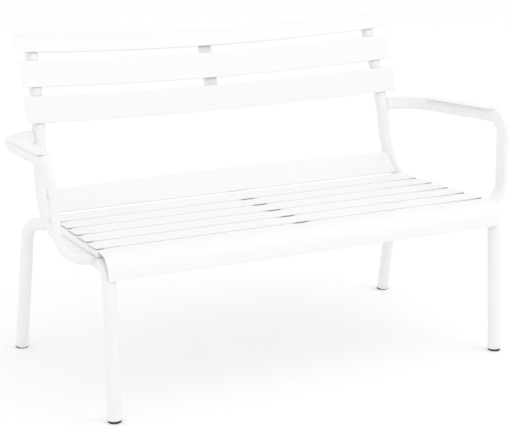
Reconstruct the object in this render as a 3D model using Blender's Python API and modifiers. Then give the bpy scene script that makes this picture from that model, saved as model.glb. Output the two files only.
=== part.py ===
"""Garden bench: two bent side tubes, separate rear legs, looped arms, and slats for the seat and the back.

Metres, +Z up. X runs along the bench, and the sitter faces -Y. "left" is the -X side.
Side-view points below are (y, z) with y = 0 under the front legs; the last step centres the depth on y = 0.
"""

from math import atan2
from math import cos
from math import radians
from math import sin
from math import tan

import bmesh
import bpy
from mathutils import Vector

# ---------------------------------------------------------------- driving dimensions

FIT_GAP = 0.0003  # left between pieces that the real object welds or presses together

# round frame tube
TUBE_RADIUS = 0.0168
TUBE_WALL = 0.002
TUBE_SIDES = 16
LONGEST_CHORD = 0.036  # along a bend, so that a wide bend stays smooth

# overall sizes, which the places below follow
HALF_SPAN = 0.547  # half the distance between the seat rails at the front
SEAT_DEPTH = 0.5205  # front feet to the corner where the rail would meet the upright
RAIL_HEIGHT = 0.373  # centre of the seat rail above the floor, at the front legs

# overall places
FRONT_FOOT_HALF_SPAN = HALF_SPAN + 0.003
REAR_FOOT_HALF_SPAN = HALF_SPAN + 0.028
REAR_FOOT_Y = SEAT_DEPTH + 0.0865
RAIL_FALL = 0.020  # drop of the rail for each metre towards the back

# side tube
FRONT_LEG_LEAN = 0.059  # backwards, for each metre of height
RAIL_FRONT_HALF_SPAN = HALF_SPAN
RAIL_REAR_HALF_SPAN = HALF_SPAN - 0.0115
UPRIGHT_MIDDLE_HALF_SPAN = HALF_SPAN - 0.029
UPRIGHT_TOP_HALF_SPAN = HALF_SPAN - 0.036
FRONT_BEND_RADIUS = 0.038
SEAT_BEND_RADIUS = 0.150
UPRIGHT_ARC_HEIGHT = RAIL_HEIGHT + 0.137  # where the straight foot of the upright turns into its long arc
UPRIGHT_ARC_RADIUS = 0.940
UPRIGHT_ARC_LENGTH = 0.300
UPRIGHT_LEAN = radians(7.5)  # at the foot of the long arc

# rear leg
REAR_LEG_LEAN = 0.200  # forwards, for each metre of height
REAR_LEG_TOE_IN = 0.020
REAR_LEG_BEND_RADIUS = 0.060
REAR_LEG_REACH = 0.0725  # how far in front of the upright's corner the leg meets the seat bend

# arm tube, a flattened section
ARM_WIDE = 0.035
ARM_THICK = 0.020
ARM_CORNER = 0.005
ARM_FOOT_Y = 0.090
ARM_FOOT_LIFT = 0.006  # above the centre of the rail
ARM_HALF_SPAN = HALF_SPAN + 0.087
ARM_HEIGHT = RAIL_HEIGHT + 0.235  # centre of the armrest above the floor, at the front
ARM_FALL = 0.054  # drop of the armrest for each metre towards the back
ARM_POST_SPLAY = 0.045
ARM_POST_LEAN = 0.087
ARM_REAR_HALF_SPAN = HALF_SPAN + 0.075
ARM_FOOT_BEND_RADIUS = 0.062
ARM_TOP_BEND_RADIUS = 0.046
ARM_REAR_BEND_RADIUS = 0.090

# arm pad
PAD_WIDTH = 0.037
PAD_THICKNESS = 0.003
PAD_FRONT_SETBACK = 0.040  # from the corner of post and armrest
PAD_LENGTH = 0.295
PAD_CORNER = 0.010
PAD_CLEARANCE = 0.0008  # above the armrest, filled by its adhesive

# slats
SKIN = 0.0032
SLAT_CORNER = 0.006
SEAT_SLAT_GAP = 0.014
SEAT_SLAT_COUNT = 5
FIRST_SEAT_GAP_Y = 0.077  # middle of the gap behind the front slat
SEAT_SLAT_RUN = SEAT_DEPTH - 0.078 - FIRST_SEAT_GAP_Y + SEAT_SLAT_GAP / 2  # the flat slats and one gap each
SEAT_SLAT_WIDTH = SEAT_SLAT_RUN / SEAT_SLAT_COUNT - SEAT_SLAT_GAP
SEAT_SLAT_END_FRONT = HALF_SPAN + 0.0115
SEAT_SLAT_TAPER = 0.049  # loss of half length for each metre towards the back
REAR_SEAT_SLAT_TILT = radians(3.0)
BEARER_THICKNESS = 0.0135
BEARER_WIDTH = 0.026
BEARER_FRONT_Y = 0.064
BEARER_REAR_Y = SEAT_DEPTH - 0.1285
FRONT_SLAT_HALF_LENGTH = HALF_SPAN + 0.008
FRONT_SLAT_RADIUS = 0.050
FRONT_SLAT_FACE_Y = 0.0173 - TUBE_RADIUS  # so that the inside of the slat clears the front legs
FRONT_SLAT_SKIRT = 0.010
LUMBAR_HALF_LENGTH = HALF_SPAN - 0.029
LUMBAR_START = radians(31.0)
LUMBAR_END = radians(61.0)
LUMBAR_BOW = 0.030
BACK_SLAT_HALF_LENGTH = HALF_SPAN + 0.011
BACK_SLAT_HEIGHT = 0.0705
BACK_SLAT_GAP = 0.0215
BACK_SLAT_DEPTH = 0.0095
BACK_SLAT_FIRST_START = 0.110  # arc length along the upright where the lowest back slat begins
BACK_SLAT_BOW = ((0.040, -0.018), (0.040, -0.021), (0.040, -0.024))  # (y, z) at mid length
TOP_SLAT_ROLL_RADIUS = 0.075
TOP_SLAT_ROLL = radians(52.0)
RIB_THICKNESS = 0.003
RIB_SETBACK = 0.004  # from the inner side of the uprights
TOP_SLAT_CLEARANCE = 0.0015  # the rolled slat stands this much further forward

# straps under the seat and behind the back
STRAP_WIDTH = 0.038
STRAP_THICKNESS = 0.004
STRAP_LAP = 0.016  # under the flat back edge of the front slat
SEAT_STRAP_CLEARANCE = 0.0008
STRAP_SETBACK = 0.002  # behind the ribs, which are straight where the strap is curved

# feet and caps
GLIDE_RADIUS = 0.0160
GLIDE_HEIGHT = 0.0060
GLIDE_STEM = 0.028
CAP_HEIGHT = 0.0030
CAP_STEM = 0.015
CAP_SEAT_GAP = 0.0008  # above the tube's end, where its soft lip sits

# ---------------------------------------------------------------- finishes

WHITE_COAT = ("white_powder_coat", (0.88, 0.88, 0.87, 1.0), 0.42, 0.0)
DARK_PLASTIC = ("dark_plastic", (0.035, 0.035, 0.038, 1.0), 0.55, 0.0)
WHITE_PLASTIC = ("white_plastic", (0.86, 0.86, 0.85, 1.0), 0.5, 0.0)

SIDES = (("left", -1.0), ("right", 1.0))


# ---------------------------------------------------------------- scene


def clear_scene():
    """Remove every object, and return the collections for the bench and for its cutters."""
    for item in list(bpy.data.objects):
        bpy.data.objects.remove(item, do_unlink=True)
    bench = bpy.data.collections.new("garden_bench")
    cutters = bpy.data.collections.new("cutters")
    cutters.hide_render = True
    bpy.context.scene.collection.children.link(bench)
    bpy.context.scene.collection.children.link(cutters)
    return bench, cutters


BENCH, CUTTERS = clear_scene()
ROOT = bpy.data.objects.new("bench_root", None)
BENCH.objects.link(ROOT)


def finish(node, look):
    """Give a node its own Principled material."""
    label, colour, roughness, metallic = look
    material = bpy.data.materials.new(f"{node.name}_{label}")
    material.use_nodes = True
    shader = material.node_tree.nodes["Principled BSDF"]
    shader.inputs["Base Color"].default_value = colour
    shader.inputs["Roughness"].default_value = roughness
    shader.inputs["Metallic"].default_value = metallic
    node.data.materials.clear()
    node.data.materials.append(material)


def add_node(name, mesh, look):
    """Link a mesh as a finished piece of the bench."""
    node = bpy.data.objects.new(name, mesh)
    BENCH.objects.link(node)
    node.parent = ROOT
    finish(node, look)
    return node


def add_cutter(name, mesh):
    """Link a mesh as a helper that Booleans use."""
    cutter = bpy.data.objects.new(name, mesh)
    CUTTERS.objects.link(cutter)
    cutter.hide_render = True
    cutter.display_type = "WIRE"
    cutter.parent = ROOT
    return cutter


def boolean(node, other, operation):
    """Add an exact Boolean with another mesh object."""
    modifier = node.modifiers.new(f"{operation.lower()}_{other.name}", "BOOLEAN")
    modifier.operation = operation
    modifier.solver = "EXACT"
    modifier.object = other


# ---------------------------------------------------------------- paths and sections


def fillet_path(corners, radii, step=radians(15.0)):
    """Points along straight lines through the corners, with each inner corner rounded to its radius."""
    points = [Vector(corners[0])]
    for before, corner, after, radius in zip(corners, corners[1:], corners[2:], radii):
        corner = Vector(corner)
        into = (corner - Vector(before)).normalized()
        out = (Vector(after) - corner).normalized()
        turn = into.angle(out)
        start = corner - into * radius * tan(turn / 2)
        inward = (out - into * out.dot(into)).normalized()
        centre = start + inward * radius
        count = max(2, round(turn / step), round(turn * radius / LONGEST_CHORD))
        for index in range(count + 1):
            angle = turn * index / count
            points.append(centre - inward * radius * cos(angle) + into * radius * sin(angle))
    points.append(Vector(corners[-1]))
    return points


def mirrored(points, side):
    """The path for one side of the bench, from the path for the +X side."""
    return [Vector((point[0] * side, point[1], point[2])) for point in points]


def curve_mesh(name, path, radius=0.0, profile=None):
    """Mesh of a filled-cap curve along a path, round or with a section curve."""
    curve = bpy.data.curves.new(name, "CURVE")
    curve.dimensions = "3D"
    curve.twist_mode = "MINIMUM"
    curve.use_fill_caps = True
    if profile is None:
        curve.bevel_depth = radius
        curve.bevel_resolution = (TUBE_SIDES - 4) // 2
    else:
        curve.bevel_mode = "OBJECT"
        curve.bevel_object = profile
    spline = curve.splines.new("POLY")
    spline.points.add(len(path) - 1)
    for point, place in zip(spline.points, path):
        point.co = (*place, 1.0)
    holder = bpy.data.objects.new(f"{name}_curve", curve)
    CUTTERS.objects.link(holder)
    bpy.context.view_layer.update()
    evaluated = holder.evaluated_get(bpy.context.evaluated_depsgraph_get())
    mesh = bpy.data.meshes.new_from_object(evaluated)
    bpy.data.objects.remove(holder, do_unlink=True)
    weld = bmesh.new()
    weld.from_mesh(mesh)
    bmesh.ops.remove_doubles(weld, verts=weld.verts, dist=1e-6)
    bmesh.ops.recalc_face_normals(weld, faces=weld.faces)
    weld.to_mesh(mesh)
    weld.free()
    mesh.name = name
    return mesh


def rounded_rectangle(width, height, corner, steps=3):
    """Outline points of a rectangle with rounded corners, centred on the origin."""
    points = []
    for quarter, (across, up) in enumerate(((1, 1), (-1, 1), (-1, -1), (1, -1))):
        centre = Vector((across * (width / 2 - corner), up * (height / 2 - corner)))
        for index in range(steps + 1):
            angle = radians(90.0 * quarter + 90.0 * index / steps)
            points.append(centre + Vector((cos(angle), sin(angle))) * corner)
    return points


def outline_curve(name, outline):
    """A closed flat curve through outline points."""
    curve = bpy.data.curves.new(name, "CURVE")
    curve.dimensions = "2D"
    spline = curve.splines.new("POLY")
    spline.points.add(len(outline) - 1)
    for point, place in zip(spline.points, outline):
        point.co = (place[0], place[1], 0.0, 1.0)
    spline.use_cyclic_u = True
    return curve


def plate_mesh(name, outline, thickness):
    """A flat plate from an outline, as a filled and extruded curve."""
    curve = outline_curve(name, outline)
    curve.fill_mode = "BOTH"
    curve.extrude = thickness / 2
    holder = bpy.data.objects.new(f"{name}_curve", curve)
    CUTTERS.objects.link(holder)
    bpy.context.view_layer.update()
    evaluated = holder.evaluated_get(bpy.context.evaluated_depsgraph_get())
    mesh = bpy.data.meshes.new_from_object(evaluated)
    bpy.data.objects.remove(holder, do_unlink=True)
    weld = bmesh.new()
    weld.from_mesh(mesh)
    bmesh.ops.remove_doubles(weld, verts=weld.verts, dist=1e-6)
    bmesh.ops.recalc_face_normals(weld, faces=weld.faces)
    weld.to_mesh(mesh)
    weld.free()
    return mesh


def band(front, back):
    """Closed (y, z) section between a front line and a back line that run the same way."""
    return list(front) + list(reversed(back))


def extruded_band(name, front, back, half_length, steps=1, bow=None, corner=0.0):
    """A band section drawn out along X, bowed at mid length, with the four outline corners rounded.

    bow(share) is the (y, z) shift at mid length for a point that lies that share of the way up the section.
    """
    section = band(front, back)
    count = len(front)
    shares = [index / (count - 1) for index in range(count)]
    shares += shares[::-1]
    shape = bmesh.new()
    rings = []
    for index in range(steps + 1):
        along = 2 * index / steps - 1
        depth = 1 - along * along
        ring = []
        for (y, z), share in zip(section, shares):
            shift = bow(share) if bow else (0.0, 0.0)
            place = (along * half_length, y + shift[0] * depth, z + shift[1] * depth)
            ring.append(shape.verts.new(place))
        rings.append(ring)
    for first, second in zip(rings, rings[1:]):
        for index in range(len(section)):
            other = (index + 1) % len(section)
            shape.faces.new((first[index], first[other], second[other], second[index]))
    for ring in (rings[0], rings[-1]):
        for index in range(count - 1):
            mate = len(section) - 1 - index
            shape.faces.new((ring[index], ring[index + 1], ring[mate - 1], ring[mate]))
    bmesh.ops.recalc_face_normals(shape, faces=shape.faces)
    if corner:
        ends = []
        for ring in (rings[0], rings[-1]):
            ends.append(shape.edges.get((ring[0], ring[-1])))
            ends.append(shape.edges.get((ring[count - 1], ring[count])))
        bmesh.ops.bevel(shape, geom=ends, offset=corner, segments=4, profile=0.5, affect="EDGES")
    mesh = bpy.data.meshes.new(name)
    shape.to_mesh(mesh)
    shape.free()
    return mesh


def smooth(node):
    """Shade a rounded piece smooth, and keep its crisp edges."""
    node.data.shade_smooth()
    node.data.set_sharp_from_angle(angle=radians(35.0))


# ---------------------------------------------------------------- side view geometry


def rail_height(y):
    """Height of the seat rail's centre line at depth y."""
    return RAIL_HEIGHT - RAIL_FALL * y


def rail_half_span(y):
    """Half the distance between the two seat rails at depth y."""
    share = y / SEAT_DEPTH
    return RAIL_FRONT_HALF_SPAN + (RAIL_REAR_HALF_SPAN - RAIL_FRONT_HALF_SPAN) * share


SEAT_CORNER = (SEAT_DEPTH, rail_height(SEAT_DEPTH))
ARC_FOOT = (
    SEAT_DEPTH + (UPRIGHT_ARC_HEIGHT - SEAT_CORNER[1]) * tan(UPRIGHT_LEAN),
    UPRIGHT_ARC_HEIGHT,
)
UPRIGHT_TOP_LEAN = UPRIGHT_LEAN + UPRIGHT_ARC_LENGTH / UPRIGHT_ARC_RADIUS


def upright_lean(length):
    """Lean of the upright from vertical, a given arc length above the foot of its long arc."""
    return UPRIGHT_LEAN + length / UPRIGHT_ARC_RADIUS


def upright_point(length, forward=0.0):
    """(y, z) on the upright's long arc, moved forwards at a right angle to it."""
    lean = upright_lean(length)
    y = ARC_FOOT[0] + UPRIGHT_ARC_RADIUS * (cos(UPRIGHT_LEAN) - cos(lean))
    z = ARC_FOOT[1] + UPRIGHT_ARC_RADIUS * (sin(lean) - sin(UPRIGHT_LEAN))
    return (y - forward * cos(lean), z + forward * sin(lean))


def upright_half_span(length):
    """Half the distance between the two uprights, a given arc length above the foot of the long arc."""
    knee_height = ARC_FOOT[1] + UPRIGHT_ARC_LENGTH / 2 * cos(UPRIGHT_LEAN)
    share = (ARC_FOOT[1] - SEAT_CORNER[1]) / (knee_height - SEAT_CORNER[1])
    foot = RAIL_REAR_HALF_SPAN + (UPRIGHT_MIDDLE_HALF_SPAN - RAIL_REAR_HALF_SPAN) * share
    return foot + (UPRIGHT_TOP_HALF_SPAN - foot) * length / UPRIGHT_ARC_LENGTH


def side_tube_path():
    """Front foot, front bend, seat rail, seat bend and the curved upright, for the +X side."""
    leg_top = (RAIL_FRONT_HALF_SPAN, FRONT_LEG_LEAN * RAIL_HEIGHT, rail_height(0.0))
    foot = (FRONT_FOOT_HALF_SPAN, 0.0, 0.0)
    tangent = UPRIGHT_ARC_RADIUS * tan((UPRIGHT_TOP_LEAN - UPRIGHT_LEAN) / 2)
    knee = (
        UPRIGHT_MIDDLE_HALF_SPAN,
        ARC_FOOT[0] + tangent * sin(UPRIGHT_LEAN),
        ARC_FOOT[1] + tangent * cos(UPRIGHT_LEAN),
    )
    top = upright_point(UPRIGHT_ARC_LENGTH)
    corners = (
        foot,
        leg_top,
        (RAIL_REAR_HALF_SPAN, *SEAT_CORNER),
        knee,
        (UPRIGHT_TOP_HALF_SPAN, *top),
    )
    radii = (FRONT_BEND_RADIUS, SEAT_BEND_RADIUS, UPRIGHT_ARC_RADIUS * 0.995)
    path = fillet_path(corners, radii, radians(11.0))
    return path


def seat_bend_centre():
    """(y, z) centre of the bend between the seat rail and the upright."""
    fall = atan2(-RAIL_FALL, 1.0)
    turn = radians(90.0) - UPRIGHT_LEAN - fall
    setback = SEAT_BEND_RADIUS * tan(turn / 2)
    y = SEAT_CORNER[0] - setback * cos(fall) - SEAT_BEND_RADIUS * sin(fall)
    z = SEAT_CORNER[1] - setback * sin(fall) + SEAT_BEND_RADIUS * cos(fall)
    return (y, z)


def stretched(path, amount):
    """The path with both ends drawn out by an amount, for a cutter that passes right through."""
    first = path[0] + (path[0] - path[1]).normalized() * amount
    last = path[-1] + (path[-1] - path[-2]).normalized() * amount
    return [first, *path[1:-1], last]


# ---------------------------------------------------------------- frame pieces


def floor_cutter(name, x, y):
    """A block whose top is where a tube stops above its glide."""
    mesh = bpy.data.meshes.new(name)
    block = bmesh.new()
    bmesh.ops.create_cube(block, size=0.12)
    bmesh.ops.translate(block, verts=block.verts, vec=(x, y, GLIDE_HEIGHT + FIT_GAP - 0.06))
    block.to_mesh(mesh)
    block.free()
    return add_cutter(name, mesh)


def build_side_tubes():
    """The two side tubes, hollow, and for each a fat copy that trims what is welded to it."""
    trims = {}
    for label, side in SIDES:
        path = mirrored(side_tube_path(), side)
        long_path = [path[0] + (path[0] - path[1]).normalized() * 0.02, *path[1:]]
        mesh = curve_mesh(f"side_tube_{label}", long_path, TUBE_RADIUS)
        tube = add_node(f"side_tube_{label}", mesh, WHITE_COAT)
        bore_mesh = curve_mesh(f"side_bore_{label}", stretched(long_path, 0.02), TUBE_RADIUS - TUBE_WALL)
        bore = add_cutter(f"side_bore_{label}", bore_mesh)
        boolean(tube, bore, "DIFFERENCE")
        boolean(tube, floor_cutter(f"side_floor_{label}", side * FRONT_FOOT_HALF_SPAN, 0.0), "DIFFERENCE")
        smooth(tube)
        trim_mesh = curve_mesh(f"side_trim_{label}", long_path, TUBE_RADIUS + FIT_GAP)
        trims[label] = add_cutter(f"side_trim_{label}", trim_mesh)
    return trims


def rear_leg_path():
    """Rear foot, bend and the short run forwards into the seat bend, for the +X side."""
    corner_z = SEAT_CORNER[1] - 0.001
    centre = seat_bend_centre()
    meet_y = SEAT_DEPTH - REAR_LEG_REACH
    meet_z = centre[1] - (SEAT_BEND_RADIUS**2 - (meet_y - centre[0]) ** 2) ** 0.5
    corner = (
        REAR_FOOT_HALF_SPAN - REAR_LEG_TOE_IN * corner_z,
        REAR_FOOT_Y - REAR_LEG_LEAN * corner_z,
        corner_z,
    )
    foot = (REAR_FOOT_HALF_SPAN, REAR_FOOT_Y, 0.0)
    meet = (rail_half_span(meet_y), meet_y, meet_z)
    return fillet_path((foot, corner, meet), (REAR_LEG_BEND_RADIUS,), radians(11.0))


def build_rear_legs(trims):
    """The two separate rear legs, hollow, trimmed to the side tubes."""
    for label, side in SIDES:
        path = mirrored(rear_leg_path(), side)
        path[0] = path[0] + (path[0] - path[1]).normalized() * 0.02
        leg = add_node(f"rear_leg_{label}", curve_mesh(f"rear_leg_{label}", path, TUBE_RADIUS), WHITE_COAT)
        bore_mesh = curve_mesh(f"rear_bore_{label}", stretched(path, 0.02), TUBE_RADIUS - TUBE_WALL)
        boolean(leg, add_cutter(f"rear_bore_{label}", bore_mesh), "DIFFERENCE")
        boolean(leg, trims[label], "DIFFERENCE")
        foot = floor_cutter(f"rear_floor_{label}", side * REAR_FOOT_HALF_SPAN, REAR_FOOT_Y)
        boolean(leg, foot, "DIFFERENCE")
        smooth(leg)


def arm_corners():
    """Corner points of the arm tube for the +X side, from the seat rail round to the upright."""
    foot = (rail_half_span(ARM_FOOT_Y), ARM_FOOT_Y, rail_height(ARM_FOOT_Y) + ARM_FOOT_LIFT)
    knee = (ARM_HALF_SPAN, ARM_FOOT_Y + 0.018, foot[2] + 0.008)
    rise = ARM_HEIGHT - knee[2]
    elbow = (knee[0] + rise * ARM_POST_SPLAY, knee[1] + rise * ARM_POST_LEAN, ARM_HEIGHT)
    join_length = 0.085
    for _ in range(3):
        join = upright_point(join_length)
        height = ARM_HEIGHT - ARM_FALL * (join[0] - elbow[1])
        join_length += (height - join[1]) / cos(upright_lean(join_length))
    join = upright_point(join_length)
    share = (join[1] - SEAT_CORNER[1]) / (upright_point(UPRIGHT_ARC_LENGTH / 2)[1] - SEAT_CORNER[1])
    join_x = RAIL_REAR_HALF_SPAN + (UPRIGHT_MIDDLE_HALF_SPAN - RAIL_REAR_HALF_SPAN) * min(share, 1.0)
    heel = (ARM_REAR_HALF_SPAN, join[0], join[1])
    return foot, knee, elbow, heel, (join_x, *join)


def build_arm_tubes(trims, bearer_trims):
    """The two looped arm tubes, flattened in section, trimmed to the side tubes at both ends."""
    profile = bpy.data.objects.new(
        "arm_section",
        outline_curve("arm_section", rounded_rectangle(ARM_WIDE, ARM_THICK, ARM_CORNER)),
    )
    CUTTERS.objects.link(profile)
    profile.hide_render = True
    radii = (ARM_FOOT_BEND_RADIUS, ARM_TOP_BEND_RADIUS, ARM_REAR_BEND_RADIUS)
    for label, side in SIDES:
        path = mirrored(fillet_path(arm_corners(), radii, radians(13.0)), side)
        mesh = curve_mesh(f"arm_tube_{label}", path, profile=profile)
        arm = add_node(f"arm_tube_{label}", mesh, WHITE_COAT)
        boolean(arm, trims[label], "DIFFERENCE")
        boolean(arm, bearer_trims[label], "DIFFERENCE")
        smooth(arm)


def build_arm_pads():
    """A thin flat strip on top of each armrest, with rounded corners."""
    _, _, elbow, heel, _ = arm_corners()
    for label, side in SIDES:
        start = Vector((elbow[0] * side, elbow[1], elbow[2]))
        run = Vector((heel[0] * side, heel[1], heel[2])) - start
        direction = run.normalized()
        outward = direction.cross(Vector((0.0, 0.0, 1.0))).normalized()
        upward = outward.cross(direction)
        middle = start + direction * (PAD_FRONT_SETBACK + PAD_LENGTH / 2)
        lift = ARM_WIDE / 2 + PAD_CLEARANCE + PAD_THICKNESS / 2
        outline = rounded_rectangle(PAD_LENGTH, PAD_WIDTH, PAD_CORNER, 5)
        mesh = plate_mesh(f"arm_pad_{label}", outline, PAD_THICKNESS)
        pad = add_node(f"arm_pad_{label}", mesh, WHITE_COAT)
        pad.location = middle + upward * lift
        yaw = atan2(direction.y, direction.x)
        pad.rotation_euler = (0.0, -atan2(direction.z, (direction.x**2 + direction.y**2) ** 0.5), yaw)


# ---------------------------------------------------------------- seat


def seat_underside(y):
    """Height of the seat slats' underside at depth y."""
    return rail_height(y) + TUBE_RADIUS + FIT_GAP + BEARER_THICKNESS + FIT_GAP


def bearer_mesh(name, side, grow=0.0):
    """The flat bar on one seat rail, grown all round by an amount when it is to be a cutter."""
    shape = bmesh.new()
    bmesh.ops.create_cube(shape, size=1.0)
    for vertex in shape.verts:
        y = BEARER_FRONT_Y - grow if vertex.co.y < 0 else BEARER_REAR_Y + grow
        centre = side * rail_half_span(y)
        bottom = rail_height(y) + TUBE_RADIUS + FIT_GAP - grow
        x = centre + (BEARER_WIDTH + 2 * grow) * vertex.co.x
        z = bottom + (BEARER_THICKNESS + 2 * grow) * (vertex.co.z + 0.5)
        vertex.co = (x, y, z)
    mesh = bpy.data.meshes.new(name)
    shape.to_mesh(mesh)
    shape.free()
    return mesh


def build_seat_bearers():
    """A flat bar along the top of each seat rail, which carries the slats."""
    trims = {}
    for label, side in SIDES:
        name = f"seat_bearer_{label}"
        bearer = add_node(name, bearer_mesh(name, side), WHITE_COAT)
        bevel = bearer.modifiers.new("soft_edges", "BEVEL")
        bevel.width = 0.0025
        bevel.segments = 2
        trims[label] = add_cutter(f"bearer_trim_{label}", bearer_mesh(f"bearer_trim_{label}", side, FIT_GAP))
    return trims


def flat_slat_lines(y_front, width, tilt=0.0):
    """Top and under line of a flat seat slat that starts at depth y_front."""
    slope = atan2(-RAIL_FALL, 1.0) + tilt
    low = (y_front, seat_underside(y_front))
    back = (low[0] + width * cos(slope), low[1] + width * sin(slope))
    lift = (-SKIN * sin(slope), SKIN * cos(slope))
    under = [low, back]
    top = [(point[0] + lift[0], point[1] + lift[1]) for point in under]
    return top, under


def build_seat_slats():
    """Five flat slats across the seat, numbered from the front."""
    pitch = SEAT_SLAT_WIDTH + SEAT_SLAT_GAP
    for number in range(SEAT_SLAT_COUNT):
        y_front = FIRST_SEAT_GAP_Y + SEAT_SLAT_GAP / 2 + number * pitch
        tilt = REAR_SEAT_SLAT_TILT if number == SEAT_SLAT_COUNT - 1 else 0.0
        top, under = flat_slat_lines(y_front, SEAT_SLAT_WIDTH, tilt)
        middle = y_front + SEAT_SLAT_WIDTH / 2
        half_length = SEAT_SLAT_END_FRONT - SEAT_SLAT_TAPER * middle
        name = f"seat_slat_{number + 1}"
        mesh = extruded_band(name, top, under, half_length, corner=SLAT_CORNER)
        add_node(name, mesh, WHITE_COAT)


def front_slat_lines():
    """Outer and inner line of the front slat, from its lower edge over the bend to its back edge."""
    back_y = FIRST_SEAT_GAP_Y - SEAT_SLAT_GAP / 2
    centre = (
        FRONT_SLAT_FACE_Y + FRONT_SLAT_RADIUS,
        seat_underside(back_y) + SKIN - FRONT_SLAT_RADIUS,
    )
    outer = [(FRONT_SLAT_FACE_Y, centre[1] - FRONT_SLAT_SKIRT)]
    inner = [(FRONT_SLAT_FACE_Y + SKIN, centre[1] - FRONT_SLAT_SKIRT)]
    for index in range(9):
        angle = radians(180.0 - 90.0 * index / 8)
        for line, radius in ((outer, FRONT_SLAT_RADIUS), (inner, FRONT_SLAT_RADIUS - SKIN)):
            line.append((centre[0] + radius * cos(angle), centre[1] + radius * sin(angle)))
    outer.append((back_y, centre[1] + FRONT_SLAT_RADIUS))
    inner.append((back_y, centre[1] + FRONT_SLAT_RADIUS - SKIN))
    return outer, inner


def build_front_slat():
    """The waterfall slat that rolls over the front of the seat."""
    outer, inner = front_slat_lines()
    mesh = extruded_band("front_slat", outer, inner, FRONT_SLAT_HALF_LENGTH, corner=SLAT_CORNER)
    smooth(add_node("front_slat", mesh, WHITE_COAT))


def build_lumbar_slat():
    """The concave slat in the bend between seat and back. Its upper edge bows backwards at mid length."""
    centre = seat_bend_centre()
    outer = SEAT_BEND_RADIUS - TUBE_RADIUS - FIT_GAP
    front, back = [], []
    for index in range(7):
        angle = LUMBAR_START + (LUMBAR_END - LUMBAR_START) * index / 6
        for line, radius in ((front, outer - SKIN), (back, outer)):
            line.append((centre[0] + radius * sin(angle), centre[1] - radius * cos(angle)))

    def bow(share):
        return (LUMBAR_BOW * share, 0.0)

    mesh = extruded_band("lumbar_slat", front, back, LUMBAR_HALF_LENGTH, 16, bow, SLAT_CORNER)
    smooth(add_node("lumbar_slat", mesh, WHITE_COAT))


def build_seat_strap():
    """The flat bar under the middle of the seat, which ties the slats together."""
    start = FIRST_SEAT_GAP_Y - SEAT_SLAT_GAP / 2 - STRAP_LAP
    pitch = SEAT_SLAT_WIDTH + SEAT_SLAT_GAP
    last = FIRST_SEAT_GAP_Y + SEAT_SLAT_GAP / 2 + (SEAT_SLAT_COUNT - 1) * pitch
    tail = last + SEAT_SLAT_WIDTH
    rise = seat_underside(last) + SEAT_SLAT_WIDTH * sin(REAR_SEAT_SLAT_TILT + atan2(-RAIL_FALL, 1.0))
    top = [
        (start, seat_underside(start) - SEAT_STRAP_CLEARANCE),
        (last, seat_underside(last) - SEAT_STRAP_CLEARANCE),
        (tail, rise - SEAT_STRAP_CLEARANCE),
        (tail + SEAT_SLAT_GAP / 2, rise - SEAT_STRAP_CLEARANCE),
    ]
    under = [(y, z - STRAP_THICKNESS) for y, z in top]
    mesh = extruded_band("seat_strap", top, under, STRAP_WIDTH / 2)
    add_node("seat_strap", mesh, WHITE_COAT)


# ---------------------------------------------------------------- back


def slat_face_forward(length, shift):
    """Distance from the upright centre line to the face of a slat end, where the bow clears the tube."""
    lean = upright_lean(length)
    normal_shift = shift[0] * cos(lean) - shift[1] * sin(lean)
    depth = 1 - (upright_half_span(length) / BACK_SLAT_HALF_LENGTH) ** 2
    return TUBE_RADIUS + 2 * FIT_GAP + SKIN + normal_shift * depth


def build_back_slats():
    """Three slats across the back. They bow backwards at mid length; the top one rolls over backwards."""
    names = ("back_slat_lower", "back_slat_middle", "back_slat_top")
    for number, name in enumerate(names):
        start = BACK_SLAT_FIRST_START + number * (BACK_SLAT_HEIGHT + BACK_SLAT_GAP)
        lean = upright_lean(start if name == "back_slat_top" else start + BACK_SLAT_HEIGHT / 2)
        shift = BACK_SLAT_BOW[number]
        forward = slat_face_forward(start + BACK_SLAT_HEIGHT / 2, shift)
        if name == "back_slat_top":
            low = Vector(upright_point(start, forward + TOP_SLAT_CLEARANCE))
            centre = low + Vector((cos(lean), -sin(lean))) * TOP_SLAT_ROLL_RADIUS
            front, back = [], []
            for index in range(8):
                angle = lean + TOP_SLAT_ROLL * index / 7
                out = Vector((-cos(angle), sin(angle)))
                front.append(tuple(centre + out * TOP_SLAT_ROLL_RADIUS))
                back.append(tuple(centre + out * (TOP_SLAT_ROLL_RADIUS - SKIN)))
        else:
            middle = Vector(upright_point(start + BACK_SLAT_HEIGHT / 2, forward))
            rise = Vector((sin(lean), cos(lean))) * BACK_SLAT_HEIGHT / 2
            inwards = Vector((cos(lean), -sin(lean))) * SKIN
            front = [tuple(middle - rise), tuple(middle + rise)]
            back = [tuple(middle - rise + inwards), tuple(middle + rise + inwards)]

        def bow(_, shift=shift):
            return shift

        def inward(along, lean=lean, name=name):
            angle = lean + (TOP_SLAT_ROLL if name == "back_slat_top" and along else 0.0)
            return Vector((cos(angle), -sin(angle)))

        mesh = extruded_band(name, front, back, BACK_SLAT_HALF_LENGTH, 16, bow, SLAT_CORNER)
        slat = add_node(name, mesh, WHITE_COAT)
        add_bowed_ribs(slat, front, inward, shift)
        smooth(slat)


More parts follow.
